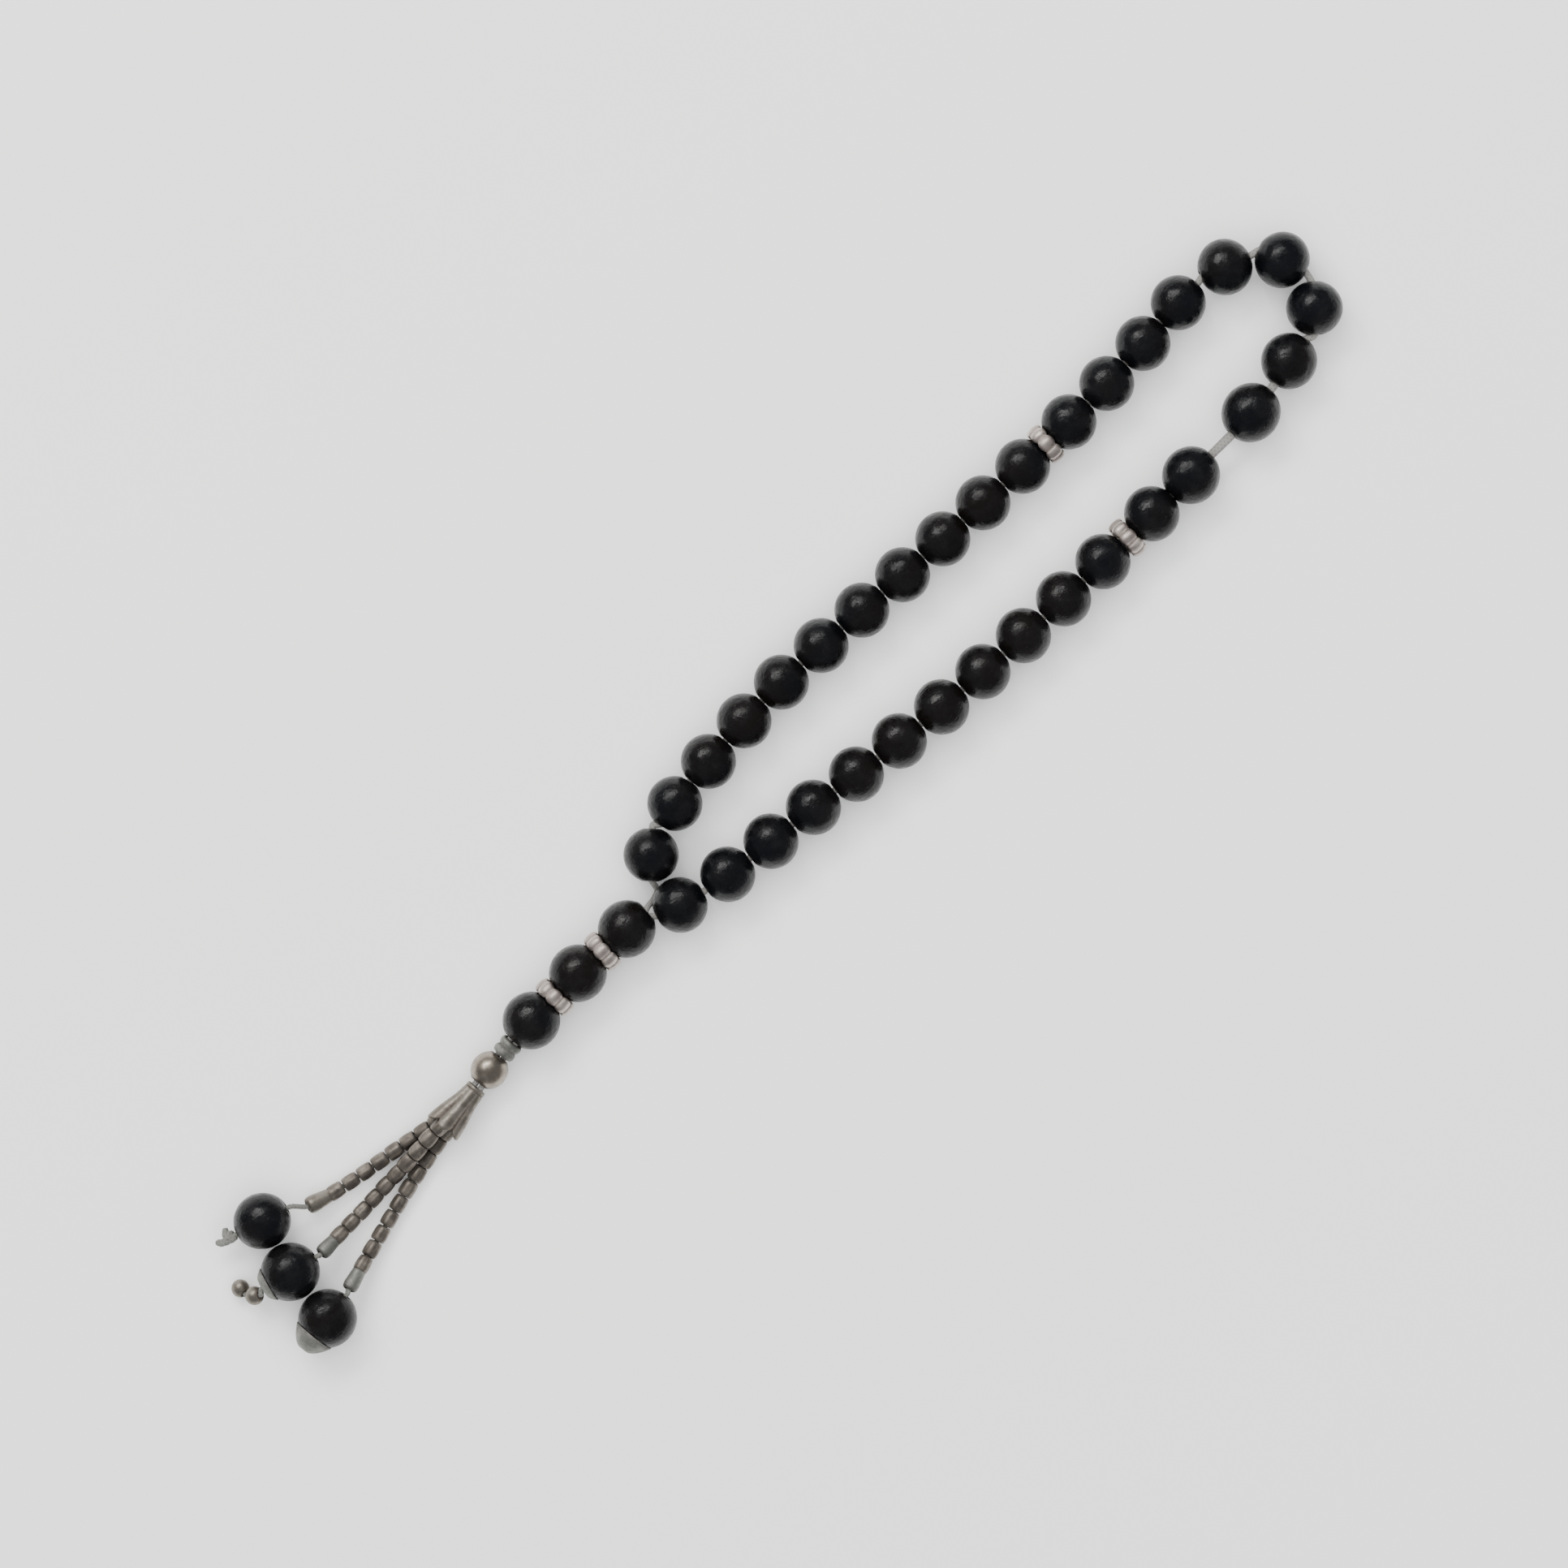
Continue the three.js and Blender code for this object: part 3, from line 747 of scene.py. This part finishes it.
for i in range(1, LOOP_COUNT):
    if i in (LOOSE_BEAD - 1, LOOSE_BEAD):
        continue
    via = [place(*BENDS[i])] if i in BENDS else []
    points = [in_bead(i, IN_HOLE), in_bead(i, AT_RIM), *via, in_bead(i + 1, -AT_RIM),
              in_bead(i + 1, -IN_HOLE)]
    piece = loop_cord(f"cord_from_{i:02d}", points, bead_name(i), *FLAT_CORD)
    if i == 1:
        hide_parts("cord")
past_loose = [
    in_bead(LOOSE_BEAD + 1, 0.1), in_bead(LOOSE_BEAD + 1, -AT_RIM), in_bead(LOOSE_BEAD, AT_RIM),
    in_bead(LOOSE_BEAD, -AT_RIM), in_bead(LOOSE_BEAD - 1, AT_RIM), in_bead(LOOSE_BEAD - 1, IN_HOLE),
]
loop_cord("cord_past_loose_bead", past_loose, bead_name(LOOSE_BEAD + 1), *BARE_CORD)

inside_leader = leader_places[0] + Vector((1, -0.1, 0.2)) * MM
down_and_round = [inside_leader, place(*LEADER_MOUTH[0]), *[place(*p) for p in UNDER_THE_LAST_BEAD],
                  in_bead(1, -AT_RIM), in_bead(1, -0.2)]
loop_cord("cord_to_first_bead", down_and_round, "leader_bead_1", CORD_HALF, CORD_HALF)
straight_in = [in_bead(LOOP_COUNT, 0.2), in_bead(LOOP_COUNT, AT_RIM), place(*LEADER_MOUTH[1]),
               inside_leader]
loop_cord("cord_to_last_bead", straight_in, "leader_bead_1", CORD_HALF, CORD_HALF)

# Two legs of the cord go through the leader to the knot in the cone
before_collar, after_collar = place(-51.6, 0.85, 4.05), place(-54.6, 0.5, 2.8)
cone_throat, inside_cone = place(-59.8, -0.25, 2.83), place(-62.7, -0.55, 2.95)
for name, start, via, end, near_body, far_body in (
    ("leader_cord_1", leader_places[0], [], leader_places[1], "leader_bead_1", "leader_bead_2"),
    ("leader_cord_2", leader_places[1], [], leader_places[2], "leader_bead_2", "leader_bead_3"),
    ("leader_cord_3", leader_places[2], [before_collar, after_collar], BALL_AT, "leader_bead_3",
     "stop_ball"),
    ("leader_cord_4", BALL_AT, [cone_throat], inside_cone, "stop_ball", "tassel_cone"),
):
    legs = []
    for side in (1, -1):
        offset = Vector((0, side * LEG, 0)) * MM
        legs.append(smooth_route([p + offset for p in (start, *via, end)], 12, SLACK))
    piece = tube(name, legs, CORD, CORD_HALF, **BRAID)
    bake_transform(piece)

# ---------------------------------------------------------------- tassel strands

THREAD_STARTS = [(-66.5, 0.2, 2.5), (-66.5, -0.8, 3.8), (-66.5, -1.7, 2.5)]
STRAND_ROUTES = [
    [(-68.5, 0.35, 1.7), (-74, 1.3, 1.15), (-80, 2.25, 1.1), (-85.5, 3.3, 1.4),
     (-89.1, 4.4, 2.6)],
    [(-68.5, -0.6, 3.6), (-73, -0.9, 2.9), (-79, -1.2, 1.3), (-86, -1.55, 1.4),
     (-92.4, -1.75, 3.6)],
    [(-68.5, -1.95, 1.7), (-74, -3, 1.15), (-80, -4.45, 1.1), (-86.5, -6.2, 1.6),
     (-93.1, -8.1, 3.7)],
]
END_TURNS = [math.radians(angle) for angle in (-17, -14, 7)]
KNOT_AT = place(-99.8, 9, 3.6)
SMALL_BALLS = [  # on the second thread: place and width in mm, and the way that the thread goes
    ((-103.3, 0.6, 3.1), 2.7, (-0.64, 0.39, -0.66)),
    ((-104.2, 2.75, 1.32), 2.6, (0, 0.86, -0.51)),
]
through_balls = [
    place(*[here + wide * share * step for here, step in zip(at, way)])
    for at, wide, way in SMALL_BALLS for share in (-0.5, 0.45)
]
THREAD_ENDS = [[KNOT_AT], through_balls, [place(-103, -9.5, 4.1)]]
THREAD_HALF = 0.35  # mm
STRAND_START = 1.1  # mm from a thread's start to its first small bead
STRAND_END = 1.1  # mm from its last small bead to its end tube
STRAND_LIFT = 0.1 * MM  # the small beads are a little wider than the route is high
SMALL_PITCH = 2.3 * MM
SMALL_HOLE = 0.5
END_TUBES = [3.6, 2.9, 3.2]  # mm of each strand taken by its smooth end piece

SMALL_BEAD = [  # along, radius, petal depth, scallop, tarnish and painted shade
    (1.16, SMALL_HOLE, 0, 0, 1), (1.16, 0.84, 0.01, 0, 0.8), (1.11, 0.95, 0.03, 0, 0.2),
    (0.92, 1.03, 0.04, 0, 0), (0.4, 1.07, 0.05, 0, 0), (-0.2, 1.06, 0.05, 0, 0),
    (-0.75, 1.01, 0.04, 0, 0), (-1.08, 0.93, 0.02, 0, 0.2), (-1.16, 0.74, 0.01, 0, 0.8),
    (-1.16, SMALL_HOLE, 0, 0, 1),
]
small_bead = spun("small_bead", SMALL_BEAD, WORN, 30, petals=5, sharpness=0.8)


def end_tube_profile(long, narrow, wide):
    """A smooth tube with rounded lips, which swells away from the cone and closes in again."""
    half = long / 2
    # The last number darkens the bore and lips with tarnish and painted shade
    return [
        (half, SMALL_HOLE, 0, 0, 1), (half, narrow - 0.14, 0, 0, 0.4), (half - 0.12, narrow - 0.03),
        (half - 0.5, narrow), (0.2, (narrow + wide) / 2), (0.9 - half, wide),
        (0.35 - half, wide - 0.06), (0.1 - half, wide - 0.2, 0, 0, 0.1),
        (-half, wide - 0.4, 0, 0, 0.5), (-half, SMALL_HOLE, 0, 0, 1),
    ]


threads = {}  # each thread with its line and the pieces strung on it
for i, (start, route_points) in enumerate(zip(THREAD_STARTS, STRAND_ROUTES)):
    number = i + 1
    body = f"tassel_strand_{number}"
    turn = END_TURNS[i]
    end_middle = middle(f"end_bead_{number}")
    end_wide = width(f"end_bead_{number}")
    hole_way = Vector((math.cos(turn), math.sin(turn), 0))
    bare = smooth_route([place(*start), *[place(*p) for p in route_points]], 14)
    whole = travelled(bare)[-1]
    stretch = cut(bare, STRAND_START * MM, whole - (END_TUBES[i] + STRAND_END) * MM)
    beaded = [p + UP * STRAND_LIFT for p in stretch]
    line = bpy.data.meshes.new(f"strand_line_{number}")
    line.from_pydata(beaded, [(k, k + 1) for k in range(len(beaded) - 1)], [])
    values = {"Bead": small_bead, "Pitch": SMALL_PITCH, "Growth": 0.05, "Unevenness": 0.03,
              "Seed": 11 * number, "Finish": WORN}
    strand = grown(f"strung_beads_{number}", line, STRUNG, STRUNG_INPUTS, values)
    attach(strand, body, "silver", body)

    tube_line = cut(bare, whole - END_TUBES[i] * MM, whole)
    profile = end_tube_profile(END_TUBES[i], 1.02, 1.15 if i else 1.28)
    end_tube = spun(f"end_tube_{number}", profile, PALE if i else ANTIQUE, 28)
    tube_middle = (tube_line[0] + tube_line[-1]) / 2
    settle_along(end_tube, tube_middle, tube_line[-1], tube_line[0])
    attach(end_tube, body, "silver")

    through = [end_middle + hole_way * (share * end_wide) for share in (0.55, 0, -0.55)]
    thread_points = [place(*start), *[place(*p) for p in route_points], *through, *THREAD_ENDS[i]]
    thread_line = smooth_route(thread_points, 12, 0.35)
    thread = tube(f"spun_thread_{number}", [thread_line], THREAD, THREAD_HALF,
                  plies=3, ply_depth=0.2, lay=1.6)
    attach(thread, body, "thread", f"tassel_thread_{number}")
    threads[number] = (thread, thread_line, [strand, end_tube])

    end_node = f"end_bead_{number}"
    long = END_STRETCH * BEAD_LENGTH * end_wide / MM
    black_bead(f"round_{end_node}", end_node, end_node, turn, END_HOLE, long)

bpy.data.objects.remove(small_bead)

# The knot behind the first end bead, with its two tails
TAIL_ROUTES = [
    [(-99.2, 8.4, 3.9), (-99.9, 8.6, 3.6), (-100.6, 8.85, 3.3), (-101.3, 9.15, 3.0),
     (-102.0, 9.75, 2.6)],
    [(-100.2, 8.7, 3.4), (-100.35, 9.1, 3.5), (-100.1, 9.7, 3.3), (-99.65, 10.3, 2.9)],
]


def knot_route(at, size, steps=72):
    """A trefoil, pulled tight."""
    route = []
    for i in range(steps + 1):
        t = math.tau * i / steps
        route.append(at + Vector((
            (math.sin(t) + 2 * math.sin(2 * t)) / 3,
            (math.cos(t) - 2 * math.cos(2 * t)) / 3,
            -0.55 * math.sin(3 * t),
        )) * size)
    return route


tails = [smooth_route([place(*p) for p in route], 10) for route in TAIL_ROUTES]
end_tails = tube("thread_tails", tails, THREAD, 0.56, plies=3, ply_depth=0.16, lay=2.6, sides=18,
                 ends=0.6)
attach(end_tails, "tassel_strand_1", "thread")
threads[1][2].append(end_tails)
end_knot = tube("thread_knot", [knot_route(KNOT_AT, 0.5 * MM)], THREAD, 0.36, plies=3,
                ply_depth=0.16, lay=1.8)
attach(end_knot, "tassel_strand_1", "thread")
threads[1][2].append(end_knot)

# The knot in the cone, where the cord's ends and the threads meet
knot_in_cone = knot_route(middle("tassel_knot"), 0.85 * MM)
hidden_knot = tube("knot_in_cone", [knot_in_cone], CORD, 0.5, **BRAID)
attach(hidden_knot, "tassel_cone", "cord", "tassel_knot")

# Silver caps behind the second and third end beads
CAP_HOLE = 0.6  # mm
CAP_GAP = 0.02  # mm, between a cap and its bead
CAP_STEPS = 8


def cap_profile(wide, rim, height):
    """A shell that sits on the bead from its hole out to the rim, highest at its middle."""
    radius = wide / 2
    rounding = math.cos(math.asin((END_HOLE + SINK_WIDTH) / radius))
    stretch = END_STRETCH * BEAD_LENGTH / rounding

    def seat(across):
        return stretch * math.sqrt(radius ** 2 - across ** 2) + CAP_GAP

    # The inside, against the bead, is all tarnish and painted shade; the outside darkens towards
    # its rim
    inside, outside = [], []
    for i in range(CAP_STEPS + 1):
        share = i / CAP_STEPS
        across = CAP_HOLE + (rim - CAP_HOLE) * i / CAP_STEPS
        inside.append((-seat(across), across, 0, 0, 1))
        bulge = height * (1 - share) ** 1.1 + 0.05 + 0.2 * math.sin(math.pi * share)
        grow = 0.35 * (1 - share) + 0.05 * share
        tarnish = 0.45 * share ** 3 if i else 0.5
        outside.append((-seat(across) - bulge, across + grow, 0.02 * share, 0, tarnish))
    return [*inside, *reversed(outside)]


for number, rim, height in ((2, 2.5, 0.3), (3, 3.0, 1.25)):
    node = f"end_cap_{number}"
    bead = f"end_bead_{number}"
    profile = cap_profile(width(bead) / MM, rim, height)
    cap = spun(f"petal_cap_{number}", profile, PALE, 72, petals=9, sharpness=0.9)
    settle(cap, middle(bead), END_TURNS[number - 1])
    attach(cap, bead, "silver", node)

for number, (at, wide, way) in enumerate(SMALL_BALLS, 1):
    profile = ball_profile(wide, 0.9 * wide, 0.55, 18)
    small_ball = spun(f"small_ball_{number}", profile, ANTIQUE, 32)
    settle_along(small_ball, place(*at), Vector(), Vector(way))
    attach(small_ball, "tassel_strand_2", "silver", f"end_ball_{number}")
    threads[2][2].append(small_ball)

# The length along each thread is worked out, and not kept
for (thread, line, pieces), far_end in zip(threads.values(), ("knot", "fitting", "fitting")):
    travelled(line)[-1]

# ---------------------------------------------------------------- table, light and camera

VIEW_MIDDLE = Vector((0.085, -0.64, 4)) * MM
VIEW_WIDTH = 222.4 * MM
VIEW_DISTANCE = 1.0
VIEW_TURN = -44.3  # degrees
SENSOR_WIDTH = 36
TABLE_SIZE = 6
TABLE_GAP = 0.02 * MM
PANE_DISTANCE = 1.1
PANE_TINT = (1.0, 0.99, 0.97)
WINDOW_PANES = [  # azimuth and tilt in degrees, size in metres, power in watts
    (100, 43, (0.22, 0.26), 2.2), (81, 47, (0.13, 0.4), 2.9), (64, 42, (0.11, 0.3), 2.4),
    (47, 47, (0.2, 0.2), 1.4),
]

bpy.ops.mesh.primitive_plane_add(size=TABLE_SIZE, location=(0, 0, -TABLE_GAP))
floor = bpy.context.object
floor.name = "table_top"
floor.data.materials.append(floor_finish())


def softbox(name, azimuth, tilt, distance, size, power, tint):
    """A flat soft light aimed at the middle. Azimuth is from +X, and tilt from straight up."""
    light = bpy.data.lights.new(name, "AREA")
    light.shape = "RECTANGLE"
    light.size, light.size_y = size
    light.energy = power
    light.color = tint
    lamp = bpy.data.objects.new(name, light)
    bpy.context.scene.collection.objects.link(lamp)
    a, t = math.radians(azimuth), math.radians(tilt)
    away = Vector((math.sin(t) * math.cos(a), math.sin(t) * math.sin(a), math.cos(t)))
    lamp.location = away * distance
    lamp.rotation_euler = away.to_track_quat("Z", "Y").to_euler()


for number, (azimuth, tilt, size, power) in enumerate(WINDOW_PANES, 1):
    softbox(f"window_pane_{number}", azimuth, tilt, PANE_DISTANCE, size, power, PANE_TINT)

# An even wash from above, which the glossy pieces don't mirror
wash = bpy.data.lights.new("wash", "SUN")
wash.energy = 4.6
wash.angle = math.radians(100)
wash_lamp = bpy.data.objects.new("wash", wash)
wash_lamp.visible_glossy = False
bpy.context.scene.collection.objects.link(wash_lamp)

world = bpy.data.worlds.new("studio")
world.use_nodes = True
background = world.node_tree.nodes["Background"]
background.inputs["Color"].default_value = (0.93, 0.95, 1.0, 1)
background.inputs["Strength"].default_value = 0.3
bpy.context.scene.world = world

camera_data = bpy.data.cameras.new("camera")
camera_data.sensor_width = SENSOR_WIDTH
camera_data.lens = SENSOR_WIDTH * VIEW_DISTANCE / VIEW_WIDTH
camera = bpy.data.objects.new("camera", camera_data)
bpy.context.scene.collection.objects.link(camera)
camera.location = VIEW_MIDDLE + UP * VIEW_DISTANCE
camera.rotation_euler = (0, 0, math.radians(VIEW_TURN))
bpy.context.scene.camera = camera
